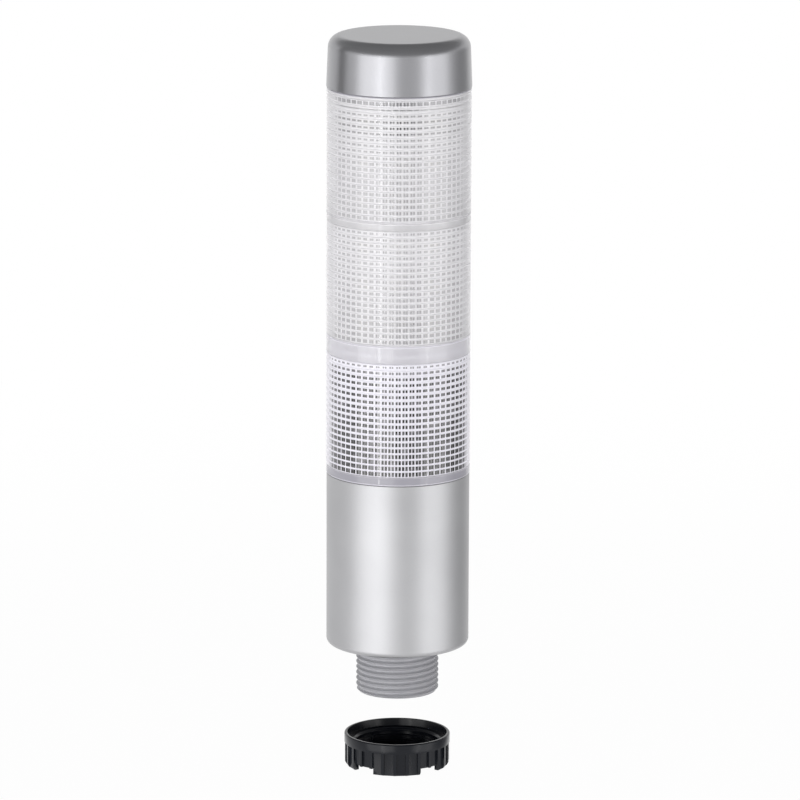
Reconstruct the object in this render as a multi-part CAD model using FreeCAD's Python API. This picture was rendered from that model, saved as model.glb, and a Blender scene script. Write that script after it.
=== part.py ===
import FreeCAD, Part
import math
import os

# Stack light with three clear tiers on a tall base, fixed through one panel hole.
# Millimetres, Z up. The origin is the middle of the base's underside, the face that sits on the panel.

# Base housing
body_radius = 19.0
base_height = 46.9
base_wall = 2.4
base_floor = 4.0
base_edge_radius = 1.5

# Lens tiers
lens_proud = 0.1
lens_wall = 2.3
lower_tier_height = 37.5
middle_tier_height = 32.8
upper_tier_height = 33.3
flute_count = 66
flute_depth = 0.4
flute_foot = 1.0

# Joints between the tiers: a spigot stands in the collar below it, round a seal
ledge_width = 0.4
spigot_length = 2.4
spigot_wall = 1.2
seal_width = 1.0
seal_height = 0.9
seam_chamfer = 0.2
fit_clearance = 0.05

# Cap
cap_proud = 0.2
cap_height = 13.7
cap_taper = 0.55
cap_edge_radius = 3.3
cap_roof = 2.0
cap_draft = 0.4

# White discs that close the tiers
disc_thickness = 1.2
slot_clearance = 0.2

# Upright LED board, which stands between two legs with its tongue in a socket
led_board_side_gap = 0.6
led_board_thickness = 1.6
led_board_rise = 0.8
tongue_width = 14.0
tongue_length = 5.0

# LED packages and their series resistors
led_size = 5.0
led_height = 1.6
led_corner_cut = 0.9
led_rows = 3
resistor_length = 3.2
resistor_width = 1.6
resistor_height = 0.6

# Driver board and what stands on it
driver_board_thickness = 1.6
driver_board_gap = 0.3
component_gap = 3.0
socket_length = 18.0
socket_depth = 5.6
socket_height = 7.0
capacitor_radius = 3.15
capacitor_height = 7.0
capacitor_edge_gap = 4.2
rectifier_length = 7.0
rectifier_width = 5.0
rectifier_height = 2.4

# Terminal block, hung under the driver board above the space for the wires
wiring_space = 9.0
terminal_count = 4
terminal_pitch = 3.5
terminal_wall = 0.9
terminal_depth = 7.6
terminal_height = 10.0
clamp_depth = 3.8
clamp_height = 4.5
clamp_metal = 0.6
wire_entry = 2.2
terminal_screw_radius = 1.1
terminal_slot_width = 0.4
terminal_slot_depth = 0.9
terminal_pin_radius = 0.5

# Two columns in the base, and the screws
column_radius = 2.6
leg_radius = 2.4
screw_shank_radius = 1.0
screw_head_radius = 1.8
screw_head_height = 1.3
screw_head_gap = 0.15
cross_length = 2.0
cross_width = 0.4
cross_depth = 0.65
column_screw_depth = 8.0
screw_tip_gap = 1.0

# Threaded stem, with the outer radius of an M22 thread of 1.5 pitch and a plain neck in the base floor
stem_radius = 11.0
stem_length = 13.2
stem_wall = 3.0
stem_neck_step = 0.4
stem_chamfer = 0.7
flange_thickness = 3.0
flange_rim = 0.1
flange_screw_count = 4
flange_screw_margin = 0.25
flange_screw_skin = 0.6

# Panel seal in the underside
panel_seal_width = 3.0
panel_seal_rim = 0.9
panel_seal_thickness = 1.2

# Mounting nut, taken off and standing below the stem
nut_drop = 11.8
nut_height = 8.7
nut_band_height = 2.6
nut_rim_width = 0.8
nut_ledge_width = 1.78
nut_ledge_chamfer = 0.5
nut_edge_chamfer = 0.2
nut_recess_depth = 2.0
nut_rib_inset = 0.15
nut_rib_count = 26
nut_rib_angle = 3.5
nut_flute_depth = 0.55
nut_turn = -2.3
thread_clearance = 0.07

# Lugs and notches along the nut's foot, counted in flutes; two lugs are four flutes long, and two are five
front_lug_flutes = 4
notch_flutes = 2
notch_height = 1.6
lug_step = 1.2
lug_chamfer_width = 0.45
lug_chamfer_height = 0.8

# Levels worked out from the sizes
lower_joint = base_height
middle_joint = lower_joint + lower_tier_height
upper_joint = middle_joint + middle_tier_height
cap_joint = upper_joint + upper_tier_height
collar_depth = spigot_length + disc_thickness
flange_top = base_floor + flange_thickness
terminal_foot = flange_top + wiring_space
board_foot = terminal_foot + terminal_height
board_top = board_foot + driver_board_thickness
socket_top = board_top + socket_height
socket_floor = socket_top - tongue_length
clamp_foot = board_foot - clamp_height
screw_level = board_foot - clamp_height / 2
nut_top = -stem_length - nut_drop
nut_foot = nut_top - nut_height

# Radii worked out from the sizes
lens_radius = body_radius + lens_proud
cap_radius = body_radius + cap_proud
base_bore_radius = body_radius - base_wall
valley_radius = lens_radius - lens_wall
collar_bore_radius = valley_radius + ledge_width
rebate_radius = collar_bore_radius + seal_width
spigot_radius = collar_bore_radius - fit_clearance
spigot_bore_radius = spigot_radius - spigot_wall
column_offset = spigot_bore_radius - screw_head_radius - screw_head_gap
led_board_width = 2 * (column_offset - leg_radius - led_board_side_gap)
screw_hole_radius = screw_shank_radius + fit_clearance
stem_bore_radius = stem_radius - stem_wall
neck_radius = stem_radius + stem_neck_step
flange_screw_circle = neck_radius + screw_hole_radius + flange_screw_margin
flange_screw_depth = base_floor - panel_seal_thickness - flange_screw_skin
flange_radius = flange_screw_circle + screw_head_radius + flange_rim
panel_seal_outer_radius = body_radius - base_edge_radius - panel_seal_rim
panel_seal_inner_radius = panel_seal_outer_radius - panel_seal_width
driver_board_radius = base_bore_radius - driver_board_gap
nut_bore_radius = stem_radius + thread_clearance
nut_lead_in_radius = nut_bore_radius + nut_ledge_chamfer
nut_recess_radius = nut_lead_in_radius + nut_ledge_width
nut_radius = nut_recess_radius + nut_rim_width
nut_rib_radius = nut_radius - nut_rib_inset
nut_flute_radius = nut_rib_radius - nut_flute_depth
nut_flute_step = 360.0 / nut_rib_count
lug_bore_radius = nut_bore_radius + lug_step

# Directions
forward = FreeCAD.Vector(0, 1, 0)
upward = FreeCAD.Vector(0, 0, 1)
photo_side = -90.0


def disc(radius, bottom, top):
    """A solid cylinder on the Z axis."""
    return Part.makeCylinder(radius, top - bottom, FreeCAD.Vector(0, 0, bottom))


def ring(outer, inner, bottom, top):
    """A plain tube on the Z axis."""
    return disc(outer, bottom, top).cut(disc(inner, bottom, top))


def rod(radius, x, y, bottom, top):
    """An upright cylinder at x, y."""
    return Part.makeCylinder(radius, top - bottom, FreeCAD.Vector(x, y, bottom))


def block(x, y, bottom, size_x, size_y, size_z):
    """A box centred on x, y that stands on bottom."""
    corner = FreeCAD.Vector(x - size_x / 2, y - size_y / 2, bottom)
    return Part.makeBox(size_x, size_y, size_z, corner)


def turned(points):
    """A closed outline of radius, height pairs, turned about the Z axis."""
    corners = [FreeCAD.Vector(radius, 0, height) for radius, height in points]
    outline = Part.makePolygon(corners + corners[:1])
    return Part.Face(outline).revolve(FreeCAD.Vector(0, 0, 0), upward, 360)


def polar(radius, degrees):
    """A point in the XY plane."""
    angle = math.radians(degrees)
    return FreeCAD.Vector(radius * math.cos(angle), radius * math.sin(angle), 0)


def prism(corners, bottom, top):
    """A flat outline, drawn at z = 0, raised from bottom to top."""
    outline = Part.makePolygon(corners + corners[:1])
    outline.translate(upward * bottom)
    return Part.Face(outline).extrude(upward * (top - bottom))


def round_edges(shape, radius, height):
    """The round edges about the Z axis with this radius, at this height."""
    found = []
    for edge in shape.Edges:
        curve = edge.Curve
        if not isinstance(curve, Part.Circle):
            continue
        on_axis = math.hypot(curve.Center.x, curve.Center.y) < 1e-6
        if on_axis and abs(curve.Radius - radius) < 1e-4 and abs(curve.Center.z - height) < 1e-4:
            found.append(edge)
    return found


def collar_space(top):
    """What a collar leaves free below its rim: the bore for spigot and disc, and the seal's rebate."""
    rebate = disc(rebate_radius, top - seal_height, top)
    return disc(collar_bore_radius, top - collar_depth, top).fuse(rebate)


def spigot_outline(joint):
    """The outline of the short tube that reaches down from a joint into the collar below it."""
    foot = joint - spigot_length
    return [(spigot_bore_radius, foot), (spigot_radius, foot), (spigot_radius, joint)]


def joint_seal(joint):
    """The seal ring that lies in the rebate round a spigot."""
    return ring(rebate_radius - fit_clearance, collar_bore_radius, joint - seal_height, joint)


def fluted_core(bottom, top):
    """The star-shaped space inside a lens, which leaves upright prisms standing on the wall."""
    corners = []
    step = 360.0 / flute_count
    for index in range(flute_count):
        corners.append(polar(valley_radius, index * step))
        corners.append(polar(valley_radius - flute_depth, (index + 0.5) * step))
    return prism(corners, bottom, top)


def lens(bottom, height):
    """One clear tier: a spigot below, prisms inside and a collar on top."""
    top = bottom + height
    outline = spigot_outline(bottom)
    outline += [(lens_radius - seam_chamfer, bottom), (lens_radius, bottom + seam_chamfer)]
    outline += [(lens_radius, top - seam_chamfer), (lens_radius - seam_chamfer, top)]
    outline += [(spigot_bore_radius, top)]
    wall = turned(outline).cut(fluted_core(bottom + flute_foot, top - collar_depth))
    return wall.cut(collar_space(top))


def lower_lens():
    """The lowest tier, on the base."""
    return lens(lower_joint, lower_tier_height)


def middle_lens():
    """The middle tier."""
    return lens(middle_joint, middle_tier_height)


def upper_lens():
    """The highest tier, under the cap."""
    return lens(upper_joint, upper_tier_height)


def tier_disc(joint):
    """A white disc on a collar's ledge, held down by the spigot above it and slotted for the LED board."""
    bottom = joint - collar_depth
    top = joint - spigot_length
    width = led_board_width + 2 * slot_clearance
    thickness = led_board_thickness + 2 * slot_clearance
    slot = block(0, 0, bottom, width, thickness, disc_thickness)
    return disc(spigot_radius, bottom, top).cut(slot)


def cap():
    """The painted cap: a shell with a rounded top edge, and a spigot below."""
    top = cap_joint + cap_height
    top_radius = cap_radius - cap_taper
    foot = cap_joint - spigot_length
    outline = [(0, foot)] + spigot_outline(cap_joint)[1:]
    outline += [(cap_radius - seam_chamfer, cap_joint), (cap_radius, cap_joint + seam_chamfer)]
    outline += [(top_radius, top), (0, top)]
    outside = turned(outline)
    outside = outside.makeFillet(cap_edge_radius, round_edges(outside, top_radius, top))
    roof = top - cap_roof
    roof_radius = spigot_bore_radius - cap_draft
    return outside.cut(turned([(0, foot), (spigot_bore_radius, foot), (roof_radius, roof), (0, roof)]))


def column_places():
    """The two sides where the columns stand."""
    return (-column_offset, column_offset)


def flange_screw_places():
    """Where the flange is screwed down, between the columns."""
    step = 360.0 / flange_screw_count
    return [polar(flange_screw_circle, (index + 0.5) * step) for index in range(flange_screw_count)]


def column(x):
    """A column on the base floor that grows out of the wall, drilled for a long screw."""
    web_reach = base_bore_radius + base_wall / 2 - column_offset
    web_middle = x + math.copysign(web_reach / 2, x)
    web = block(web_middle, 0, base_floor, web_reach, column_radius, board_foot - base_floor)
    hole = rod(screw_shank_radius, x, 0, board_foot - column_screw_depth, board_foot)
    return rod(column_radius, x, 0, base_floor, board_foot).fuse(web).cut(hole)


def base_housing():
    """The painted base: a tall cup with a collar on top, two columns inside and the stem's hole below."""
    outside = disc(body_radius, 0, base_height)
    outside = outside.makeFillet(base_edge_radius, round_edges(outside, body_radius, 0))
    outside = outside.makeChamfer(seam_chamfer, round_edges(outside, body_radius, base_height))
    shell = outside.cut(disc(base_bore_radius, base_floor, base_height)).cut(collar_space(base_height))
    for x in column_places():
        shell = shell.fuse(column(x))
    shell = shell.cut(disc(neck_radius + fit_clearance, 0, flange_top))
    shell = shell.cut(ring(panel_seal_outer_radius, panel_seal_inner_radius, 0, panel_seal_thickness))
    hole_foot = base_floor - flange_screw_depth
    for place in flange_screw_places():
        shell = shell.cut(rod(screw_shank_radius, place.x, place.y, hole_foot, base_floor))
    return shell.removeSplitter()


def panel_seal():
    """The flat rubber ring that sits in the underside and seals against the panel."""
    outer = panel_seal_outer_radius - fit_clearance
    return ring(outer, panel_seal_inner_radius + fit_clearance, 0, panel_seal_thickness)


def threaded_stem():
    """The hollow stem, with a flange that lies on the base floor and is keyed round the two columns."""
    stem = turned([
        (stem_bore_radius, -stem_length),
        (stem_radius - stem_chamfer, -stem_length),
        (stem_radius, -stem_length + stem_chamfer),
        (stem_radius, 0),
        (neck_radius, 0),
        (neck_radius, flange_top),
        (stem_bore_radius, flange_top),
    ])
    flange = ring(flange_radius, stem_bore_radius, base_floor, flange_top)
    for x in column_places():
        flange = flange.cut(rod(column_radius + 2 * fit_clearance, x, 0, base_floor, flange_top))
    for place in flange_screw_places():
        flange = flange.cut(rod(screw_hole_radius, place.x, place.y, base_floor, flange_top))
    return stem.fuse(flange).removeSplitter()


def screw(x, y, seat, bite):
    """A pan-head screw with a cross recess, whose head sits on the level named seat."""
    head_top = seat + screw_head_height
    head = rod(screw_head_radius, x, y, seat, head_top)
    head = head.cut(block(x, y, head_top - cross_depth, cross_length, cross_width, cross_depth))
    head = head.cut(block(x, y, head_top - cross_depth, cross_width, cross_length, cross_depth))
    return head.fuse(rod(screw_shank_radius - fit_clearance, x, y, seat - bite, seat))


def stem_screws():
    """The screws that hold the flange to the base floor."""
    bite = flange_thickness + flange_screw_depth
    return Part.makeCompound([screw(place.x, place.y, flange_top, bite) for place in flange_screw_places()])


def board_carrier():
    """The disc that closes the lower tier, with two legs that clamp the driver board on its columns."""
    top = lower_joint - spigot_length
    carrier = tier_disc(lower_joint)
    for x in column_places():
        carrier = carrier.fuse(rod(leg_radius, x, 0, board_top, top - disc_thickness))
        carrier = carrier.cut(rod(screw_hole_radius, x, 0, board_top, top))
    return carrier.removeSplitter()


def carrier_screws():
    """The two long screws through the carrier's legs and the driver board, into the columns."""
    seat = lower_joint - spigot_length
    bite = seat - board_foot + column_screw_depth - screw_tip_gap
    return Part.makeCompound([screw(x, 0, seat, bite) for x in column_places()])


def led_board():
    """The upright board: a tongue in the socket, and the tall blade through all tiers."""
    top = cap_joint - spigot_length + led_board_rise
    blade = block(0, 0, socket_top, led_board_width, led_board_thickness, top - socket_top)
    tongue = block(0, 0, socket_floor, tongue_width, led_board_thickness, tongue_length)
    return blade.fuse(tongue).removeSplitter()


def led_package(x, height, side):
    """One LED package on a face of the board, with the cut corner that marks its polarity."""
    half = led_size / 2
    cut = half - led_corner_cut
    face = side * led_board_thickness / 2
    outline = [(-half, -half), (half, -half), (half, cut), (cut, half), (-half, half)]
    corners = [FreeCAD.Vector(x + across, face, height + up) for across, up in outline]
    return Part.Face(Part.makePolygon(corners + corners[:1])).extrude(forward * (side * led_height))


def row_levels(joint, next_joint):
    """The heights of a tier's LED rows, spread evenly between the discs that close it."""
    bottom = joint - spigot_length
    spacing = (next_joint - collar_depth - bottom) / led_rows
    return [bottom + (row + 0.5) * spacing for row in range(led_rows)]


def tier_leds(joint, next_joint):
    """All LED packages of one tier, in two columns on both faces of the board."""
    column_x = led_board_width / 4
    packages = []
    for height in row_levels(joint, next_joint):
        for x in (-column_x, column_x):
            packages += [led_package(x, height, -1), led_package(x, height, 1)]
    return Part.makeCompound(packages)


def lower_leds():
    """The LEDs of the lowest tier."""
    return tier_leds(lower_joint, middle_joint)


def middle_leds():
    """The LEDs of the middle tier."""
    return tier_leds(middle_joint, upper_joint)


def upper_leds():
    """The LEDs of the highest tier."""
    return tier_leds(upper_joint, cap_joint)


def led_resistors():
    """One series resistor between the LEDs of each row, on the front face."""
    levels = row_levels(lower_joint, middle_joint)
    levels += row_levels(middle_joint, upper_joint)
    levels += row_levels(upper_joint, cap_joint)
    middle = -(led_board_thickness + resistor_height) / 2
    half = resistor_length / 2
    size = (resistor_width, resistor_height, resistor_length)
    return Part.makeCompound([block(0, middle, level - half, *size) for level in levels])


def terminal_places():
    """The poles of the terminal block along X."""
    first = -terminal_pitch * (terminal_count - 1) / 2
    return [first + index * terminal_pitch for index in range(terminal_count)]


def driver_board():
    """The round board in the base, with holes for the long screws and the terminal pins."""
    board = disc(driver_board_radius, board_foot, board_top)
    for x in column_places():
        board = board.cut(rod(screw_hole_radius, x, 0, board_foot, board_top))
    for x in terminal_places():
        board = board.cut(rod(terminal_pin_radius + fit_clearance, x, 0, board_foot, board_top))
    return board


def board_socket():
    """The socket on the driver board that takes the LED board's tongue."""
    body = block(0, 0, board_top, socket_length, socket_depth, socket_height)
    slot_width = tongue_width + 2 * fit_clearance
    slot_thickness = led_board_thickness + 2 * fit_clearance
    return body.cut(block(0, 0, socket_floor, slot_width, slot_thickness, tongue_length))


def driver_capacitor():
    """The capacitor can behind the socket, near the board's edge."""
    y = driver_board_radius - capacitor_edge_gap - capacitor_radius
    return rod(capacitor_radius, 0, y, board_top, board_top + capacitor_height)


def rectifier_y():
    """The line in front of the socket where rectifier and resistors stand."""
    return -(socket_depth + rectifier_width) / 2 - component_gap


def driver_rectifier():
    """The rectifier package in front of the socket."""
    return block(0, rectifier_y(), board_top, rectifier_length, rectifier_width, rectifier_height)


def driver_resistors():
    """The dropping resistors, two on each side of the rectifier."""
    parts = []
    for x in (-rectifier_length, rectifier_length):
        for y in (rectifier_y() - resistor_width, rectifier_y() + resistor_width):
            parts.append(block(x, y, board_top, resistor_length, resistor_width, resistor_height))
    return Part.makeCompound(parts)


def terminal_screw_hole(x, radius, length):
    """A cylinder that runs back from the front face of the terminal block."""
    return Part.makeCylinder(radius, length, FreeCAD.Vector(x, -terminal_depth / 2, screw_level), forward)


def terminal_block():
    """The block under the driver board: wire entries from below, screws from the front."""
    body = block(0, 0, terminal_foot, terminal_pitch * terminal_count, terminal_depth, terminal_height)
    room_width = terminal_pitch - terminal_wall + 2 * fit_clearance
    room_depth = clamp_depth + 2 * fit_clearance
    for x in terminal_places():
        body = body.cut(block(x, 0, clamp_foot, room_width, room_depth, clamp_height))
        body = body.cut(block(x, 0, terminal_foot, wire_entry, wire_entry, clamp_foot - terminal_foot))
        body = body.cut(terminal_screw_hole(x, terminal_screw_radius + fit_clearance, terminal_depth / 2))
    return body


def terminal_clamps():
    """The metal cages that grip the wires, each with its solder pin up through the driver board."""
    parts = []
    for x in terminal_places():
        cage = block(x, 0, clamp_foot, terminal_pitch - terminal_wall, clamp_depth, clamp_height)
        cage = cage.cut(block(x, 0, clamp_foot, wire_entry, wire_entry, clamp_height - clamp_metal))
        parts.append(cage.fuse(rod(terminal_pin_radius, x, 0, board_foot, board_top)))
    return Part.makeCompound(parts)


def terminal_screws():
    """The clamping screws in the front of the terminal block, each with a slot."""
    length = (terminal_depth - clamp_depth) / 2
    parts = []
    for x in terminal_places():
        shank = terminal_screw_hole(x, terminal_screw_radius, length)
        middle = (terminal_slot_depth - terminal_depth) / 2
        foot = screw_level - terminal_slot_width / 2
        slot = block(x, middle, foot, 2 * terminal_screw_radius, terminal_slot_depth, terminal_slot_width)
        parts.append(shank.cut(slot))
    return Part.makeCompound(parts)


def rib_side(index):
    """The direction of the last side of one rib, counted round from the rib nearest the photo's side."""
    return photo_side + nut_turn + index * nut_flute_step + nut_rib_angle / 2


def nut_grip():
    """The fluted skirt under the nut's band: narrow ribs with flat-bottomed flutes between them."""
    corners = []
    for index in range(nut_rib_count):
        last_side = rib_side(index)
        first_side = last_side - nut_rib_angle
        corners += [polar(nut_flute_radius, first_side), polar(nut_rib_radius, first_side)]
        corners += [polar(nut_rib_radius, last_side), polar(nut_flute_radius, last_side)]
    return prism(corners, nut_foot, nut_top - nut_band_height)


def notch_starts():
    """The ribs after which the notches begin, the same in both halves of the nut."""
    half = nut_rib_count // 2
    first = front_lug_flutes // 2
    second = half - first - notch_flutes
    return [first, second, half + first, half + second]


def nut_notch(start):
    """One gap between two lugs, from the side of the starting rib to the side of the rib that ends it."""
    reach = 2 * nut_radius
    corners = [polar(0, 0), polar(reach, rib_side(start)), polar(reach, rib_side(start + notch_flutes))]
    return prism(corners, nut_foot, nut_foot + notch_height)


def lug_chamfer():
    """The ring that is cut off the foot of the ribs."""
    rise = lug_chamfer_height / lug_chamfer_width
    return turned([
        (nut_rib_radius - lug_chamfer_width, nut_foot),
        (nut_radius, nut_foot),
        (nut_radius, nut_foot + rise * (lug_chamfer_width + nut_rib_inset)),
    ])


def mounting_nut():
    """The nut: a plain band round a recess, a fluted grip below it, and lugs with notches between them."""
    band = disc(nut_radius, nut_top - nut_band_height, nut_top)
    band = band.makeChamfer(nut_edge_chamfer, round_edges(band, nut_radius, nut_top))
    nut = band.fuse(nut_grip()).cut(lug_chamfer())
    for start in notch_starts():
        nut = nut.cut(nut_notch(start))
    ledge = nut_top - nut_recess_depth
    lug_root = nut_foot + notch_height
    hollow = turned([
        (0, nut_foot),
        (lug_bore_radius, nut_foot),
        (lug_bore_radius, lug_root),
        (nut_bore_radius, lug_root),
        (nut_bore_radius, ledge - nut_ledge_chamfer),
        (nut_lead_in_radius, ledge),
        (nut_recess_radius, ledge),
        (nut_recess_radius, nut_top),
        (0, nut_top),
    ])
    return nut.cut(hollow).removeSplitter()


pieces = {
    "cap": cap(),
    "cap_seal": joint_seal(cap_joint),
    "top_reflector": tier_disc(cap_joint),
    "upper_lens": upper_lens(),
    "upper_lens_seal": joint_seal(upper_joint),
    "upper_divider": tier_disc(upper_joint),
    "middle_lens": middle_lens(),
    "middle_lens_seal": joint_seal(middle_joint),
    "lower_divider": tier_disc(middle_joint),
    "lower_lens": lower_lens(),
    "lower_lens_seal": joint_seal(lower_joint),
    "board_carrier": board_carrier(),
    "carrier_screws": carrier_screws(),
    "led_board": led_board(),
    "upper_leds": upper_leds(),
    "middle_leds": middle_leds(),
    "lower_leds": lower_leds(),
    "led_resistors": led_resistors(),
    "base_housing": base_housing(),
    "driver_board": driver_board(),
    "board_socket": board_socket(),
    "driver_capacitor": driver_capacitor(),
    "driver_rectifier": driver_rectifier(),
    "driver_resistors": driver_resistors(),
    "terminal_block": terminal_block(),
    "terminal_clamps": terminal_clamps(),
    "terminal_screws": terminal_screws(),
    "threaded_stem": threaded_stem(),
    "stem_screws": stem_screws(),
    "panel_seal": panel_seal(),
    "mounting_nut": mounting_nut(),
}

os.makedirs("parts", exist_ok=True)
for name, shape in pieces.items():
    shape.exportStep("parts/" + name + ".step")
    print(name, len(shape.Solids), "solids", round(shape.Volume, 1), "mm3")
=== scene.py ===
# %% [markdown]
# # A stack light in clear prismatic tiers
#
# The real object is a slim column: a silver cap, three clear tiers, a tall silver base, a hollow threaded
# stem for one panel hole, and the black nut that goes on it. The imported model already holds every piece at
# its real size, so this script only dresses it. The first step loads that model and bakes each node's place
# into its mesh.

# %% Load the imported model
import math

import bmesh
import bpy
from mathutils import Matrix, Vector


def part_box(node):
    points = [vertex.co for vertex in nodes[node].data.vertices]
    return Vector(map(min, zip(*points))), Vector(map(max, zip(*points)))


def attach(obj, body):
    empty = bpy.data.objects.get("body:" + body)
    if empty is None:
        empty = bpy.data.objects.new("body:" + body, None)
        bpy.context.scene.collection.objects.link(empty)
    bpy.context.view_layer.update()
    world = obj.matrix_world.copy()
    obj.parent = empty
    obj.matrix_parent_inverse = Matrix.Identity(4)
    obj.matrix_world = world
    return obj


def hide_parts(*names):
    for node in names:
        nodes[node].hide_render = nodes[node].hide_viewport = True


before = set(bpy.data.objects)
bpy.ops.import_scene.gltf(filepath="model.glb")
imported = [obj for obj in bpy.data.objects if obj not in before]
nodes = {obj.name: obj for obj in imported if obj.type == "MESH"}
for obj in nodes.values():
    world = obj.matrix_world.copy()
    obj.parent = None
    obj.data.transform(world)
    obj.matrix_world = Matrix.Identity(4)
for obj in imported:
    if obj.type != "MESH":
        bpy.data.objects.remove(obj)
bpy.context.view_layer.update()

# %% [markdown]
# ## Sizes
#
# Everything is in metres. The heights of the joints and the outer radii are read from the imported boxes, so
# they can't drift away from the solids. The small sizes below them, such as the ring pitch, belong to the
# detail that is modelled here.

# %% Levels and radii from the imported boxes
MM = 0.001
body = "light"

cap_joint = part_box("upper_lens")[1].z
upper_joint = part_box("middle_lens")[1].z
middle_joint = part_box("lower_lens")[1].z
lower_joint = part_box("base_housing")[1].z
lens_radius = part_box("upper_lens")[1].x
stem_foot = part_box("threaded_stem")[0].z
nut_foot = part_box("mounting_nut")[0].z
joints = lower_joint, middle_joint, upper_joint, cap_joint
print("joints in mm", [round(level / MM, 1) for level in joints])

# %% [markdown]
# ## Helpers for modelling
#
# Operators act on whatever is selected, so each piece starts with nothing selected. In edit mode, vertices
# are picked by their place. One helper pulls a ring of edges along an outline of radius and height, which
# is how every turned form below grows out of one circle.

# %% Selecting and turning
def begin():
    """Leaves nothing selected, so that the next operator acts only on what it adds."""
    bpy.ops.object.select_all(action="DESELECT")


def pick(piece):
    """Makes one piece the only selected and active one."""
    begin()
    piece.select_set(True)
    bpy.context.view_layer.objects.active = piece


def pick_vertices(test):
    """In edit mode, selects the vertices whose place passes the test."""
    bpy.ops.mesh.select_all(action="DESELECT")
    mesh = bmesh.from_edit_mesh(bpy.context.object.data)
    for vertex in mesh.verts:
        vertex.select_set(bool(test(vertex.co)))
    mesh.select_flush_mode()
    bmesh.update_edit_mesh(bpy.context.object.data)


def near(value, goal):
    """True if two lengths agree to a thousandth of a millimetre."""
    return abs(value - goal) < 0.001 * MM


def follow(outline):
    """Pulls the selected ring of edges along radius, height pairs. The first pair is where it stands."""
    radius, height = outline[0]
    for next_radius, next_height in outline[1:]:
        bpy.ops.mesh.extrude_region_move(TRANSFORM_OT_translate={"value": (0, 0, next_height - height)})
        share = next_radius / radius
        bpy.ops.transform.resize(value=(share, share, 1), center_override=(0, 0, 0))
        radius, height = next_radius, next_height


def circle(name, vertices, radius, height):
    """A ring of edges about the Z axis, with its place in its mesh, left in edit mode with all selected."""
    begin()
    bpy.ops.mesh.primitive_circle_add(vertices=vertices, radius=radius, location=(0, 0, height))
    piece = bpy.context.object
    piece.name = name
    bpy.ops.object.transform_apply(location=True, rotation=True, scale=True)
    bpy.ops.object.mode_set(mode="EDIT")
    bpy.ops.mesh.select_all(action="SELECT")
    return piece


# %% Finishing a shape
def apply_modifier(piece, kind, **settings):
    """Adds a modifier, sets it up and applies it."""
    pick(piece)
    modifier = piece.modifiers.new("shape", kind)
    for name, value in settings.items():
        setattr(modifier, name, value)
    bpy.ops.object.modifier_apply(modifier=modifier.name)


def combine(piece, tool, operation):
    """Cuts a tool out of a piece or joins it on, and then removes the tool."""
    apply_modifier(piece, "BOOLEAN", operation=operation, object=tool, solver="EXACT")
    bpy.data.objects.remove(tool)


def close_up(piece, sharp_degrees):
    """Merges doubled vertices, turns the faces outwards and smooths all but the sharp edges."""
    pick(piece)
    bpy.ops.object.mode_set(mode="EDIT")
    bpy.ops.mesh.select_all(action="SELECT")
    bpy.ops.mesh.remove_doubles(threshold=0.0005 * MM)
    bpy.ops.mesh.normals_make_consistent(inside=False)
    bpy.ops.object.mode_set(mode="OBJECT")
    bpy.ops.object.shade_smooth_by_angle(angle=math.radians(sharp_degrees))


def copy_of(node, name):
    """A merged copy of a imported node, as a start for a finer piece."""
    begin()
    piece = nodes[node].copy()
    piece.data = nodes[node].data.copy()
    piece.name = name
    piece.parent = None
    for key in list(piece.keys()):
        del piece[key]
    bpy.context.scene.collection.objects.link(piece)
    pick(piece)
    bpy.ops.mesh.customdata_custom_splitnormals_clear()
    bpy.ops.object.mode_set(mode="EDIT")
    bpy.ops.mesh.select_all(action="SELECT")
    bpy.ops.mesh.remove_doubles(threshold=0.001 * MM)
    bpy.ops.object.mode_set(mode="OBJECT")
    return piece


def report(piece):
    """Prints a piece's triangles, its open edges, its box in millimetres and which way its faces look."""
    mesh = piece.data
    mesh.calc_loop_triangles()
    check = bmesh.new()
    check.from_mesh(mesh)
    open_edges = sum(not edge.is_manifold for edge in check.edges)
    inside_out = check.calc_volume(signed=True) < 0
    check.free()
    corners = [vertex.co for vertex in mesh.vertices]
    low = [round(min(corner[axis] for corner in corners) / MM, 2) for axis in range(3)]
    high = [round(max(corner[axis] for corner in corners) / MM, 2) for axis in range(3)]
    print(piece.name, len(mesh.loop_triangles), "triangles,", open_edges, "open edges", low, high)
    print("  faces look inwards:", inside_out)


# %% [markdown]
# ## Camera
#
# The photograph was taken from well away with a long lens, a little above the light. Ellipses of the cap,
# the base and the nut gave 12.4 degrees and 1.65 m, so the camera looks down by that much, at the point of
# the axis that stands in the middle of the frame.

# %% The photograph's viewpoint
camera_distance = 1.65
camera_fall = math.radians(12.4)
camera_roll = math.radians(0.2)
picture_middle = Vector((0.48 * MM, 0, 66.1 * MM))
focal_pixels = 6216
frame_pixels = 800
film_width = 36
farthest_seen = 20

bpy.ops.object.camera_add(
    location=picture_middle + camera_distance * Vector((0, -math.cos(camera_fall), math.sin(camera_fall))),
    rotation=(math.pi / 2 - camera_fall, 0, 0),
)
camera = bpy.context.object
camera.rotation_euler.rotate_axis("Z", camera_roll)
camera.data.sensor_width = film_width
camera.data.lens = focal_pixels * film_width / frame_pixels
camera.data.clip_end = farthest_seen
bpy.context.scene.camera = camera
print("lens in mm", round(camera.data.lens, 1))

# %% [markdown]
# ## Shader arithmetic
#
# A finish is a small sum of patterns. To keep such sums readable, one class wraps a socket so that plain
# arithmetic adds the Math nodes, and one method adds any other node.

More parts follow.
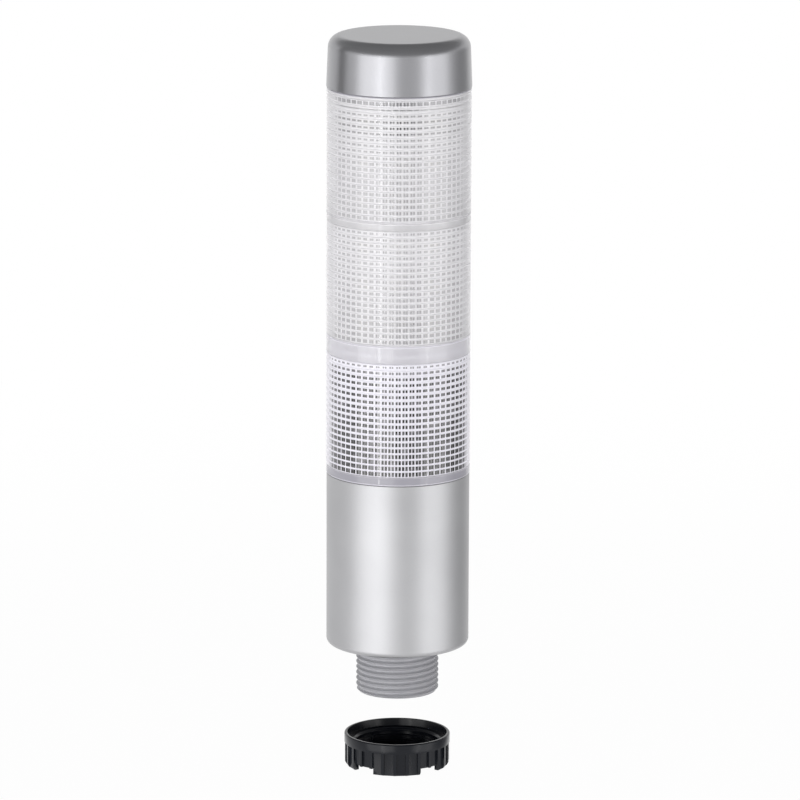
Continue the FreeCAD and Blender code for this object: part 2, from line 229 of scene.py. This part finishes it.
# %% Wires and finishes
class Wire:
    """A value on its way through a material. Arithmetic on it adds Math nodes."""

    def __init__(self, finish, socket):
        self.finish = finish
        self.socket = socket

    def maths(self, operation, *others):
        return self.finish.maths(operation, self, *others)

    def __add__(self, other):
        return self.maths("ADD", other)

    def __sub__(self, other):
        return self.maths("SUBTRACT", other)

    def __mul__(self, other):
        return self.maths("MULTIPLY", other)

    def __truediv__(self, other):
        return self.maths("DIVIDE", other)

    def __rsub__(self, other):
        return self.finish.maths("SUBTRACT", other, self)

    __radd__ = __add__
    __rmul__ = __mul__


class Network:
    """A tree of shader nodes, with one method that adds any node."""

    def __init__(self, tree):
        self.tree = tree

    def plug(self, socket, value):
        if isinstance(value, Wire):
            self.tree.links.new(value.socket, socket)
        elif isinstance(value, tuple) and len(value) == 3 and socket.type == "RGBA":
            socket.default_value = (*value, 1)
        else:
            socket.default_value = value

    def add(self, kind, settings, inputs, output=0):
        """Adds a node: its settings first, then the values and links of its sockets."""
        node = self.tree.nodes.new(kind)
        for name, value in settings.items():
            setattr(node, name, value)
        for name, value in inputs.items():
            self.plug(node.inputs[name], value)
        return Wire(self, node.outputs[output])

    def maths(self, operation, *values):
        return self.add("ShaderNodeMath", {"operation": operation}, dict(enumerate(values)))

    def place(self):
        """The point in the object's own metres."""
        return self.add("ShaderNodeTexCoord", {}, {}, "Object")

    def axis(self, name):
        """One coordinate of that point."""
        return self.add("ShaderNodeSeparateXYZ", {}, {0: self.place()}, name)

    def noise(self, per_metre, detail=2.0):
        """Soft random variation from 0 to 1."""
        inputs = {"Vector": self.place(), "Scale": per_metre, "Detail": detail}
        return self.add("ShaderNodeTexNoise", {}, inputs, 0)

    def step(self, value, start, end):
        """A smooth step from 0 at start to 1 at end."""
        inputs = {"Value": value, "From Min": start, "From Max": end}
        return self.add("ShaderNodeMapRange", {"interpolation_type": "SMOOTHSTEP"}, inputs)

    def blend(self, share, first, second):
        """A colour between two others."""
        return self.add("ShaderNodeMix", {"data_type": "RGBA"}, {0: share, 6: first, 7: second}, 2)

    def bump(self, height, strength, depth):
        """Fine relief of that depth in metres."""
        inputs = {"Height": height, "Strength": strength, "Distance": depth}
        return self.add("ShaderNodeBump", {}, inputs)

    def show(self, wire, output):
        """Links a shader to the tree's output."""
        self.tree.links.new(wire.socket, self.tree.nodes[output].inputs["Surface"])


class Finish(Network):
    """A material with a Principled shader."""

    def __init__(self, name, **constants):
        self.material = bpy.data.materials.new(name)
        self.material.use_nodes = True
        super().__init__(self.material.node_tree)
        self.shader = self.tree.nodes["Principled BSDF"]
        self.set(**constants)

    def set(self, **values):
        """Sets or links sockets of the shader, such as base_color or roughness."""
        for name, value in values.items():
            self.plug(self.shader.inputs[SOCKETS[name]], value)

    def mix(self, share, other):
        """Mixes the Principled shader with another one."""
        own = Wire(self, self.shader.outputs[0])
        self.show(self.add("ShaderNodeMixShader", {}, {0: share, 1: own, 2: other}), "Material Output")


SOCKETS = {
    "base_color": "Base Color",
    "metallic": "Metallic",
    "roughness": "Roughness",
    "ior": "IOR",
    "normal": "Normal",
    "transmission": "Transmission Weight",
    "specular": "Specular IOR Level",
}


# %% [markdown]
# ## Plain finishes
#
# Most of the pieces are moulded plastic. Real moulded plastic is never one flat colour: it clouds slightly,
# its gloss wanders, and it carries a fine grain. One recipe makes all of them, with other numbers.

# %% Moulded plastic, metal and circuit boards
cloud_scale = 90
mark_scale = 4000
weave_scale = 1500
track_width = 0.25 * MM
track_length = 7.5 * MM
track_spacing = 2.6 * MM


def shade(colour, share):
    """A colour made lighter or darker."""
    return tuple(min(1.0, value * share) for value in colour)


def wandering(pattern, middle, spread):
    """A value that wanders about its middle with a pattern from 0 to 1."""
    return pattern * spread + (middle - spread / 2)


def moulded(name, colour, roughness, grain=2500, relief=0.01, clouding=0.06, specular=0.5):
    """Moulded plastic: slight clouding, wandering gloss and a fine grain."""
    finish = Finish(name, specular=specular)
    clouds = finish.noise(cloud_scale)
    fine = finish.noise(grain, 3.0)
    finish.set(
        base_color=finish.blend(clouds, shade(colour, 1 - clouding), shade(colour, 1 + clouding)),
        roughness=wandering(fine, roughness, 0.12),
        normal=finish.bump(fine, 0.6, relief * MM),
    )
    return finish.material


def metal(name, colour, roughness, upright=1.0):
    """Bare or plated metal with faint marks. A low upright share stretches them along Z."""
    finish = Finish(name, metallic=1.0)
    stretch = finish.add("ShaderNodeMapping", {}, {"Vector": finish.place(), "Scale": (1, 1, upright)})
    marks = finish.add("ShaderNodeTexNoise", {}, {"Vector": stretch, "Scale": mark_scale, "Detail": 2.0})
    finish.set(
        base_color=finish.blend(marks, shade(colour, 0.85), shade(colour, 1.1)),
        roughness=wandering(marks, roughness, 0.2),
        normal=finish.bump(marks, 0.3, 0.01 * MM),
    )
    return finish.material


def circuit_board(name, mask_colour, track_colour):
    """Solder mask over tracks, which show through it as slightly raised lines."""
    finish = Finish(name, roughness=0.32)
    settings = {"offset": 0.5, "squash": 1.0}
    inputs = {
        "Vector": finish.place(), "Scale": 1.0, "Mortar Size": track_width, "Mortar Smooth": 0.3,
        "Brick Width": track_length, "Row Height": track_spacing,
    }
    tracks = finish.add("ShaderNodeTexBrick", settings, inputs, 1)
    weave = finish.noise(weave_scale)
    finish.set(
        base_color=finish.blend(tracks, mask_colour, track_colour),
        normal=finish.bump(tracks + weave * 0.3, 0.4, 0.03 * MM),
    )
    return finish.material


# %% Silver paint
flake_scale = 9000
patch_scale = 60
peel_scale = 1100


def silver_paint(name, roughness, dark, bright):
    """Satin silver paint on smooth plastic: bright flakes in a grey coat, with a hint of orange peel."""
    finish = Finish(name, metallic=0.82)
    flakes = finish.noise(flake_scale)
    patches = finish.noise(patch_scale)
    peel = finish.noise(peel_scale, 1.0)
    finish.set(
        base_color=finish.blend(flakes * 0.6 + patches * 0.4, dark, bright),
        roughness=wandering(flakes, roughness, 0.1),
        normal=finish.bump(peel + flakes * 0.3, 0.25, 0.02 * MM),
    )
    return finish.material


base_silver = silver_paint("silver_paint", 0.46, (0.28, 0.28, 0.29), (0.435, 0.435, 0.445))
# The cap wears the base's silver paint. Its copy is darker, which paints shade onto the cap.
cap_silver_shaded = silver_paint("silver_paint_cap_shaded", 0.31, (0.208, 0.208, 0.22), (0.333, 0.333, 0.347))
white_plastic = moulded("white_plastic", (0.86, 0.86, 0.85), 0.45)
stem_grey = moulded("stem_grey", (0.395, 0.395, 0.418), 0.5, grain=3500, relief=0.02)
seal_silicone = moulded("seal_silicone", (0.8, 0.8, 0.81), 0.6)
panel_rubber = moulded("panel_rubber", (0.05, 0.05, 0.052), 0.7)
chip_black = moulded("chip_black", (0.03, 0.03, 0.032), 0.5)
nut_black = moulded("nut_black", (0.005, 0.006, 0.009), 0.22, grain=5000, relief=0.004, specular=0.2)
black_card = moulded("black_card", (0.01, 0.01, 0.01), 0.9, specular=0.0)
terminal_grey = moulded("terminal_grey", (0.3, 0.31, 0.32), 0.5)
can_metal = metal("capacitor_can", (0.7, 0.7, 0.71), 0.35, upright=0.1)
plated_metal = metal("plated_metal", (0.72, 0.71, 0.68), 0.32)
board_white = circuit_board("board_white", (0.84, 0.84, 0.82), (0.76, 0.76, 0.74))
board_green = circuit_board("board_green", (0.015, 0.13, 0.05), (0.03, 0.22, 0.09))


# %% [markdown]
# ## LED packages
#
# Each package is a white ceramic frame round a disc of yellow phosphor. The packages sit in an even grid,
# so the disc is a pattern on the object's own coordinates: the distance to the nearest package's middle.

# %% Phosphor discs on the packages
led_rows = 3
led_size = 5.0 * MM
phosphor_radius = 1.75 * MM
phosphor_edge = 0.06


def led_finish(node):
    """The finish of one tier's packages. Their grid is worked out from the node's box."""
    low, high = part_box(node)
    column = high.x - led_size / 2
    first = low.z + led_size / 2
    spacing = (high.z - low.z - led_size) / (led_rows - 1)
    finish = Finish(node + "_finish", roughness=0.4)
    across = finish.axis("X").maths("ABSOLUTE") - column
    rows = (finish.axis("Z") - first) / spacing + 0.5
    upward = (rows.maths("FRACT") - 0.5) * spacing
    distance = (across * across + upward * upward).maths("SQRT")
    edges = phosphor_radius * (1 + phosphor_edge), phosphor_radius * (1 - phosphor_edge)
    disc = finish.step(distance, *edges)
    finish.set(
        base_color=finish.blend(disc, (0.84, 0.84, 0.83), (0.84, 0.78, 0.5)),
        normal=finish.bump(disc, 0.5, 0.1 * MM),
    )
    return finish.material


led_finishes = {node: led_finish(node) for node in ("lower_leds", "middle_leds", "upper_leds")}

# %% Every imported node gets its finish
NODE_FINISH = {
    "cap": cap_silver_shaded,
    "base_housing": base_silver,
    "cap_seal": seal_silicone,
    "upper_lens_seal": seal_silicone,
    "middle_lens_seal": seal_silicone,
    "lower_lens_seal": seal_silicone,
    "panel_seal": panel_rubber,
    "top_reflector": white_plastic,
    "upper_divider": white_plastic,
    "lower_divider": white_plastic,
    "board_carrier": white_plastic,
    "carrier_screws": plated_metal,
    "stem_screws": plated_metal,
    "led_board": board_white,
    "led_resistors": chip_black,
    "driver_board": board_green,
    "board_socket": chip_black,
    "driver_capacitor": can_metal,
    "driver_rectifier": chip_black,
    "driver_resistors": chip_black,
    "terminal_block": terminal_grey,
    "terminal_clamps": plated_metal,
    "terminal_screws": plated_metal,
    "threaded_stem": stem_grey,
    "mounting_nut": nut_black,
    **led_finishes,
}
for node, material in NODE_FINISH.items():
    nodes[node].data.materials.clear()
    nodes[node].data.materials.append(material)
print("nodes with a finish", len(NODE_FINISH))

# %% [markdown]
# ## The clear tiers
#
# A tier is a clear tube. Outside, rings of V grooves leave flat bands between them, and inside stand
# upright prisms. Together they cut the surface into small flat windows in a net of bright lines, which is
# what makes such a light glow evenly. The rings are one pitch of outline, repeated by an Array modifier.
# The collar, the seat of the seal, the prisms and the spigot then grow out of its two open ends, so the
# whole tier is one closed shell.

# %% Sizes of a tier
flute_count = 66
steps_per_flute = 4
around = flute_count * steps_per_flute
ring_pitch = 1.6 * MM
groove_width = 0.42 * MM
groove_depth = 0.14 * MM
lens_wall = 2.3 * MM
flute_depth = 0.4 * MM
flute_foot = 1.0 * MM
ledge_width = 0.4 * MM
seal_width = 1.0 * MM
seal_height = 0.9 * MM
spigot_length = 2.4 * MM
spigot_wall = 1.2 * MM
disc_thickness = 1.2 * MM
seam_chamfer = 0.2 * MM
fit_clearance = 0.05 * MM

valley_radius = lens_radius - lens_wall
collar_bore = valley_radius + ledge_width
rebate_radius = collar_bore + seal_width
spigot_radius = collar_bore - fit_clearance
spigot_bore = spigot_radius - spigot_wall


# %% The ringed wall, and the outline that closes it
def ring_wall(name, first_row, rows):
    """The ringed part of the wall: flat windows between V grooves, one pitch repeated upwards."""
    low = first_row - ring_pitch / 2
    groove = lens_radius - groove_depth
    piece = circle(name, around, groove, low)
    follow([
        (groove, low),
        (lens_radius, low + groove_width / 2),
        (lens_radius, low + ring_pitch - groove_width / 2),
        (groove, low + ring_pitch),
    ])
    bpy.ops.object.mode_set(mode="OBJECT")
    apply_modifier(
        piece, "ARRAY", count=rows, use_relative_offset=False, use_constant_offset=True,
        constant_offset_displace=(0, 0, ring_pitch), use_merge_vertices=True, merge_threshold=0.001 * MM,
    )
    return piece


def close_wall(piece, joint, top, ring_low, ring_high):
    """Grows collar, seal seat, prism wall and spigot from the top ring round to the bottom one."""
    groove = lens_radius - groove_depth
    prism_top = top - spigot_length - disc_thickness
    prism_foot = joint + flute_foot
    pick(piece)
    bpy.ops.object.mode_set(mode="EDIT")
    pick_vertices(lambda place: near(place.z, ring_high))
    follow([
        (groove, ring_high),
        (lens_radius, ring_high + groove_width / 2),
        (lens_radius, top - seam_chamfer),
        (lens_radius - seam_chamfer, top),
        (rebate_radius, top),
        (rebate_radius, top - seal_height),
        (collar_bore, top - seal_height),
        (collar_bore, prism_top),
        (valley_radius, prism_top),
        (valley_radius, prism_foot),
        (spigot_bore, prism_foot),
        (spigot_bore, joint - spigot_length),
        (spigot_radius, joint - spigot_length),
        (spigot_radius, joint),
        (lens_radius - seam_chamfer, joint),
        (lens_radius, joint + seam_chamfer),
        (lens_radius, ring_low - groove_width / 2),
        (groove, ring_low),
    ])
    return prism_foot, prism_top


def raise_prisms(prism_foot, prism_top):
    """Pulls the vertices between the valleys inwards, which leaves upright three-sided prisms."""
    for step in range(1, steps_per_flute):
        share = min(step, steps_per_flute - step) / (steps_per_flute / 2)
        reach = (valley_radius - flute_depth * share) / valley_radius

        def on_prism(place):
            turn = math.atan2(place.y, place.x) / (2 * math.pi) * around
            on_wall = near(math.hypot(place.x, place.y), valley_radius)
            at_end = near(place.z, prism_foot) or near(place.z, prism_top)
            return on_wall and at_end and round(turn) % steps_per_flute == step

        pick_vertices(on_prism)
        bpy.ops.transform.resize(value=(reach, reach, 1), center_override=(0, 0, 0))


# %% [markdown]
# The outside carries the net of windows. Each window is clear but looks into the dark space behind it, and
# that
# dark is painted: the windows carry a dark tint of painted shade. The lines between them scatter light and
# so look white. Towards the top of a tier the windows are lower and narrower, because the moulded prisms
# flatten there.
# The inside is frosted, which blurs the boards.

# %% The frosted inner side
polycarbonate_ior = 1.585
frost_scale = 6000


def frosted_inside():
    """The inner side of a tier: clear plastic with a rough surface."""
    finish = Finish("frosted_inside", ior=polycarbonate_ior, transmission=1.0)
    grain = finish.noise(frost_scale)
    finish.set(
        base_color=finish.blend(grain, (0.95, 0.95, 0.96), (0.99, 0.99, 1.0)),
        roughness=wandering(grain, 0.43, 0.1),
    )
    return finish.material


frosted = frosted_inside()


# %% Where a point lies among the windows
sides_with_creases = 4
seam_reach = 0.45 * MM
window_edge = 0.06


def window_shape(finish, z, stages):
    """Height, width, painted shade tone and clearness of the windows, as they change from stage to stage
    upwards.
    """
    values = before = stages[0]
    for start, end, after in stages[1:]:
        share = finish.step(z, start * MM, end * MM)
        values = [share * (after[part] - before[part]) + values[part] for part in range(len(after))]
        before = after
    return values


def from_middle(places):
    """How far a count of pitches is from the middle of its pitch: 0 there, 1 at the borders."""
    return (places.maths("FRACT") - 0.5).maths("ABSOLUTE") * 2


def in_rows(finish, z, first_row, rows):
    """1 on the ringed part of a tier, 0 on its smooth ends."""
    low = first_row - 0.5 * ring_pitch
    high = first_row + (rows - 0.5) * ring_pitch
    soft = 0.1 * ring_pitch
    return finish.step(z, low, low + soft) * finish.step(z, high, high - soft)


def near_level(finish, z, level):
    """1 on a seam at that level, fading to 0 away from it."""
    return finish.step((z - level).maths("ABSOLUTE"), seam_reach, seam_reach / 2)


def glass_sheen(finish, limits):
    """0 where the glass faces the eye and 1 where it turns well away, between two limits."""
    return finish.step(finish.add("ShaderNodeLayerWeight", {}, {}, "Facing"), *limits)


# %% The clear outer side
clear_colour = (0.96, 0.95, 0.975)
# Grey of the painted shade close to the joints of the tiers.
seam_shade_grey = (0.29, 0.28, 0.35)
crease_edges = 0.24, 0.08
crease_all_round = 0.1
crease_at_sides = 0.8
groove_edges = 0.6, 0.78
groove_cover = 0.75
wander_scale = 420


def clear_outside(name, tier):
    """The outer side of a tier: clear windows tinted with painted shade, in a net of milky lines, with
    painted grey shade at both ends.
    """
    finish = Finish(name, ior=polycarbonate_ior, transmission=1.0, roughness=0.06, specular=0.2)
    z = finish.axis("Z")
    first_row = tier["joint"] + tier["first_row"]
    rows = in_rows(finish, z, first_row, tier["rows"])
    turn = finish.axis("Y").maths("ARCTAN2", finish.axis("X"))
    across = from_middle(turn * (flute_count / (2 * math.pi)))
    upward = from_middle((z - first_row) / ring_pitch + 0.5)

    height, width, shade_tone, clearness = window_shape(finish, z, tier["stages"])
    tall = finish.step(upward, height + window_edge, height - window_edge)
    wide = finish.step(across, width + window_edge, width - window_edge)
    facing = (turn * sides_with_creases).maths("COSINE").maths("MAXIMUM", 0.0)
    crease = 1 - finish.step(across, *crease_edges) * (facing * crease_at_sides + crease_all_round)
    wander = (finish.noise(wander_scale) * 0.5 + 0.75).maths("MINIMUM", 1.0)
    depth = facing * tier["centring"] + (1 - tier["centring"])
    # Painted sheen: the windows fade where the glass turns away from the eye.
    sheen = glass_sheen(finish, tier["sheen"])
    window = tall * wide * crease * rows * wander * depth * (1 - sheen)

    foot_seam = near_level(finish, z, tier["joint"])
    top_seam = near_level(finish, z, tier["top"])
    foot = finish.step(z, first_row - 0.5 * ring_pitch, first_row - 0.8 * ring_pitch)
    # Painted shade greys each end of a tier close to its joint, and the lower tier's whole smooth foot; a
    # negative share lightens that foot at its joint.
    end_shade = foot_seam * tier["seam_shades"][0] + top_seam * tier["seam_shades"][1] + foot * tier["foot_shade"]
    # The windows' colour is a dark tint of painted shade, for the dark inside seen through them.
    dark = finish.add("ShaderNodeCombineColor", {}, {0: shade_tone, 1: shade_tone * 0.98, 2: shade_tone * 1.06})
    clear = finish.blend(end_shade, clear_colour, seam_shade_grey)
    finish.set(base_color=finish.blend(window, clear, dark))

    white = finish.blend(end_shade, tier["white"], seam_shade_grey)
    milky = finish.add("ShaderNodeBsdfPrincipled", {}, {"Base Color": white, "Roughness": 0.3})
    net = rows * (tier["milky_net"] - tier["milky_collar"]) + tier["milky_collar"]
    covered = foot_seam + top_seam + rows * finish.step(upward, *groove_edges)
    net = net + (1 - net) * covered.maths("MINIMUM", 1.0) * groove_cover
    # The painted sheen also thins the milky share where the glass turns away.
    finish.mix((1 - window * clearness) * net * (1 - sheen * 0.3), milky)
    return finish.material


# %% [markdown]
# The tiers differ only in numbers. `first_row` is the height of the lowest row above the joint. `stages`
# says how the windows change on the way up: first their height, width, shade tone and clearness at the foot,
# as shares of a pitch or of the whole, then for each change the two levels in millimetres between which it
# happens and the new numbers. The shade tone is the colour of the windows' dark tint of painted shade, 0 for
# black. `sheen` is how far from facing the eye the glass must turn before the painted sheen begins to fade
# the windows and until they are gone. `centring` is how much they pale between the four sides on which
# the paired windows have a crease. `milky_net` and `milky_collar` are how much the lines between the windows
# and the smooth ends scatter, in the colour `white`. The seam shades say how much painted shade greys the
# foot and the top close to the joint, where less than nothing is lighter, and the foot shade does so for the
# whole smooth foot.

# %% The three tiers
TIERS = {
    "upper_tier": {
        "replaces": "upper_lens", "joint": upper_joint, "top": cap_joint,
        "first_row": 1.2 * MM, "rows": 20,
        "stages": [
            (0.54, 0.68, 0.8, 0.66),
            (131.0, 136.5, (0.32, 0.62, 0.4, 0.8)),
            (140.3, 140.9, (0.32, 0.68, 0.0, 1.0)),
            (144.0, 145.2, (0.28, 0.64, 0.3, 0.85)),
            (146.3, 146.5, (0.2, 1.2, 0.22, 0.88)),
            (147.9, 148.1, (0.6, 0.76, 0.42, 0.88)),
        ],
        "sheen": (0.36, 0.64), "centring": 0.3, "milky_net": 0.7, "milky_collar": 0.72, "foot_shade": 0.0,
        "seam_shades": (0.08, 0.6), "white": (0.88, 0.87, 0.898),
    },
    "middle_tier": {
        "replaces": "middle_lens", "joint": middle_joint, "top": upper_joint,
        "first_row": 1.2 * MM, "rows": 19,
        "stages": [
            (0.58, 0.68, 0.62, 0.72),
            (86.0, 114.0, (0.36, 0.6, 0.82, 0.66)),
        ],
        "sheen": (0.42, 0.66), "centring": 0.15, "milky_net": 0.7, "milky_collar": 0.52, "foot_shade": 0.0,
        "seam_shades": (0.12, 0.05), "white": (0.88, 0.87, 0.898),
    },
    "lower_tier": {
        "replaces": "lower_lens", "joint": lower_joint, "top": middle_joint,
        "first_row": 3.2 * MM, "rows": 19,
        "stages": [
            (0.7, 0.84, 0.0, 1.0),
            (50.0, 76.0, (0.46, 0.7, 0.0, 1.0)),
            (76.0, 79.5, (0.3, 0.54, 0.4, 0.75)),
        ],
        "sheen": (0.56, 0.8), "centring": 0.0, "milky_net": 0.95, "milky_collar": 0.52, "foot_shade": 0.62,
        "seam_shades": (-0.35, 0.05), "white": (0.89, 0.873, 0.945),
    },
}


skin = 0.05 * MM
smooth_below = 25


def make_tier(name, tier):
    """Models one tier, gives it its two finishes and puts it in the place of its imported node."""
    first_row = tier["joint"] + tier["first_row"]
    ring_low = first_row - ring_pitch / 2
    ring_high = ring_low + tier["rows"] * ring_pitch
    piece = ring_wall(name, first_row, tier["rows"])
    prism_foot, prism_top = close_wall(piece, tier["joint"], tier["top"], ring_low, ring_high)
    raise_prisms(prism_foot, prism_top)
    bpy.ops.object.mode_set(mode="OBJECT")
    close_up(piece, smooth_below)
    piece.data.materials.append(clear_outside(name + "_outside", tier))
    piece.data.materials.append(frosted)
    outer = lens_radius - groove_depth - skin
    for face in piece.data.polygons:
        face.material_index = int(math.hypot(face.center.x, face.center.y) < outer)
    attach(piece, body)
    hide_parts(tier["replaces"])
    report(piece)


for name, tier in TIERS.items():
    make_tier(name, tier)

# %% [markdown]
# ## The thread
#
# A thread is a groove that climbs by one pitch in each turn. The cutter is a small rounded outline, which a
# Screw modifier winds round the axis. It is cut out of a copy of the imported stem, as on a lathe, so the
# stem keeps its form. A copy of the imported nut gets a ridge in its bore, on the same helix and a whole
# number of pitches lower, so that the ridge follows the stem's groove after any whole number of turns.

# %% A cutter that winds round the axis
thread_pitch = 1.5 * MM
steps_per_turn = 96
thread_smooth_below = 30


def winding_bar(name, outline, start, turns):
    """A helical bar about Z. Its outline is drawn as radius, half height pairs from the inside outwards."""
    path = list(outline)
    path += [(radius, -height) for radius, height in reversed(outline)]
    begin()
    first_radius, first_height = path[0]
    bpy.ops.mesh.primitive_plane_add(size=MM, location=(first_radius, 0, start + first_height))
    piece = bpy.context.object
    piece.name = name
    bpy.ops.object.transform_apply(location=True, rotation=True, scale=True)
    bpy.ops.object.mode_set(mode="EDIT")
    bpy.ops.mesh.select_all(action="SELECT")
    bpy.ops.mesh.merge(type="CENTER")
    for (radius, height), (next_radius, next_height) in zip(path, path[1:] + path[:1]):
        step = (next_radius - radius, 0, next_height - height)
        bpy.ops.mesh.extrude_region_move(TRANSFORM_OT_translate={"value": step})
    bpy.ops.mesh.select_all(action="SELECT")
    bpy.ops.mesh.remove_doubles(threshold=0.001 * MM)
    bpy.ops.object.mode_set(mode="OBJECT")
    apply_modifier(
        piece, "SCREW", axis="Z", angle=2 * math.pi, screw_offset=thread_pitch, iterations=turns,
        steps=steps_per_turn, render_steps=steps_per_turn,
        use_merge_vertices=True, merge_threshold=0.001 * MM,
    )
    bpy.ops.object.mode_set(mode="EDIT")
    bpy.ops.mesh.select_all(action="SELECT")
    bpy.ops.mesh.fill_holes(sides=len(path))
    bpy.ops.object.mode_set(mode="OBJECT")
    close_up(piece, thread_smooth_below)
    return piece


# %% The threaded stem
groove_start = stem_foot - 1.2 * MM
groove_turns = 9
GROOVE = [
    (10.22 * MM, 0.2 * MM), (10.32 * MM, 0.34 * MM), (10.6 * MM, 0.48 * MM), (10.84 * MM, 0.58 * MM),
    (10.95 * MM, 0.66 * MM), (11.03 * MM, 0.745 * MM),
]
stem = copy_of("threaded_stem", "screw_stem")
stem_cutter = winding_bar("stem_cutter", GROOVE, groove_start, groove_turns)
report(stem_cutter)
combine(stem, stem_cutter, "DIFFERENCE")
close_up(stem, thread_smooth_below)
stem.data.materials.clear()
stem.data.materials.append(stem_grey)
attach(stem, body)
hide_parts("threaded_stem")
report(stem)

# %% The nut
edge_round = 0.12 * MM
sharpest_left = math.radians(40)
ridge_turns = 2
pitches_below_stem = 11
RIDGE = [(10.55 * MM, 0.12 * MM), (11.25 * MM, 0.4 * MM)]
nut = copy_of("mounting_nut", "ring_nut")
apply_modifier(nut, "BEVEL", width=edge_round, segments=2, limit_method="ANGLE", angle_limit=sharpest_left)
ridge_start = groove_start - pitches_below_stem * thread_pitch
nut_ridge = winding_bar("nut_ridge", RIDGE, ridge_start, ridge_turns)
combine(nut, nut_ridge, "UNION")
close_up(nut, thread_smooth_below)
report(nut)
nut.data.materials.clear()
nut.data.materials.append(nut_black)
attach(nut, "nut")
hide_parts("mounting_nut")

# %% [markdown]
# ## Floor and light
#
# The photograph has a plain white ground. Here a pale floor stands just under the nut. The camera sees most
# of it at full white, and near the object a share of its lit surface stays, so that it keeps the shadow.
# Satin paint shows what stands round it. A wide soft box on either side of the camera gives it the two
# bright bands. Each box has a thin tube in front, which draws the fine upright glints on the clear tiers.
# The boxes reach below the floor, so the floor is left out of reflections and lets their light through. Two
# black cards do the rest: one draws the dark stripe in the side of the cap, one keeps the nut's hole dark.

# %% Floor
floor_level = nut_foot - 0.1 * MM
near_white = 0.975
near_reach = 0.12
far_reach = 0.5
floor_size = 8

begin()
bpy.ops.mesh.primitive_plane_add(size=floor_size, location=(0, 0, floor_level))
floor = bpy.context.object
floor.name = "floor"
floor.visible_glossy = False
floor.visible_shadow = False
ground = Finish("floor", base_color=(0.92, 0.92, 0.92), roughness=0.9)
seen = ground.add("ShaderNodeLightPath", {}, {}, "Is Camera Ray")
through = ground.add("ShaderNodeLightPath", {}, {}, "Is Transmission Ray")
distance = ground.add("ShaderNodeVectorMath", {"operation": "LENGTH"}, {0: ground.place()}, "Value")
whiteness = ground.step(distance, near_reach, far_reach) * (1 - near_white) + near_white
white = ground.add("ShaderNodeEmission", {}, {"Color": (1.0, 1.0, 1.0), "Strength": 1.0})
ground.mix(seen.maths("MAXIMUM", through) * whiteness, white)
floor.data.materials.append(ground.material)
print("floor at", round(floor_level / MM, 1), "mm")

# %% Surroundings: a bright band round the horizon, lower in front, with a dark corner at the right
horizon_light = 1.18
ceiling_light = 0.34
band_tilt = Vector((0, -0.18, 1))
band_top = 0.16
ceiling_foot = 0.36
dark_corner = Vector((0.87, 0.45, -0.2))
corner_edges = 0.88, 0.98
corner_loss = 0.62

world = bpy.data.worlds.new("studio")
bpy.context.scene.world = world
world.use_nodes = True
room = Network(world.node_tree)
direction = room.add("ShaderNodeTexCoord", {}, {}, "Generated")


def along(vector):
    """How far the looked-at direction points along a vector."""
    inputs = {0: direction, 1: vector}
    return room.add("ShaderNodeVectorMath", {"operation": "DOT_PRODUCT"}, inputs, "Value")


glow = room.step(along(band_tilt), ceiling_foot, band_top) * (horizon_light - ceiling_light) + ceiling_light
glow = glow * (1 - room.step(along(dark_corner), *corner_edges) * corner_loss)
seen_white = glow.maths("MAXIMUM", room.add("ShaderNodeLightPath", {}, {}, "Is Camera Ray"))
sky = room.add("ShaderNodeBackground", {}, {"Color": (1.0, 1.0, 1.0), "Strength": seen_white})
room.show(sky, "World Output")
print("surroundings have", len(world.node_tree.nodes), "nodes")


# %% Lamps
lamp_foot = -0.55
lamp_top = 0.25


def soft_box(name, azimuth, distance, width, radiance):
    """An upright rectangular lamp. Azimuth 0 is the camera's side, and positive is to the right."""
    turn = math.radians(azimuth)
    away = Vector((math.sin(turn), -math.cos(turn), 0))
    facing = (-away).to_track_quat("-Z", "Y").to_euler()
    middle = away * distance + Vector((0, 0, (lamp_foot + lamp_top) / 2))
    bpy.ops.object.light_add(type="AREA", location=middle, rotation=facing)
    lamp = bpy.context.object
    lamp.name = name
    lamp.visible_camera = False
    lamp.data.shape = "RECTANGLE"
    lamp.data.size = width
    lamp.data.size_y = lamp_top - lamp_foot
    lamp.data.energy = radiance * math.pi * width * (lamp_top - lamp_foot)
    print(name, "gives", round(lamp.data.energy, 2), "W")


soft_box("left_box", -37, 0.9, 1.05, 2.15)
soft_box("right_box", 59, 0.9, 0.8, 1.5)
soft_box("left_tube", -30, 0.85, 0.03, 9.0)
soft_box("right_tube", 47, 0.85, 0.03, 5.5)

# %% Two black cards that the camera doesn't see
def hide_from(card, *rays):
    """Gives a card its black and hides it from some kinds of rays."""
    for ray in ("visible_camera", "visible_transmission", *rays):
        setattr(card, ray, False)
    card.data.materials.append(black_card)


card_turn = math.radians(-96)
card_distance = 0.1
card_height = 0.155
card_size = (0.029, 0.1, 1)
card_place = (card_distance * math.sin(card_turn), -card_distance * math.cos(card_turn), card_height)
begin()
bpy.ops.mesh.primitive_plane_add(size=1, location=card_place, rotation=(math.pi / 2, 0, card_turn))
cap_card = bpy.context.object
cap_card.name = "cap_card"
cap_card.scale = card_size
hide_from(cap_card, "visible_diffuse", "visible_shadow")

disc_radius = 12 * MM
disc_level = nut_foot - 0.05 * MM
begin()
bpy.ops.mesh.primitive_circle_add(
    vertices=96, radius=disc_radius, fill_type="NGON", location=(0, 0, disc_level),
)
nut_card = bpy.context.object
nut_card.name = "nut_card"
hide_from(nut_card)

bpy.context.scene.view_settings.view_transform = "Standard"
print("stage", floor.name, cap_card.name, nut_card.name)
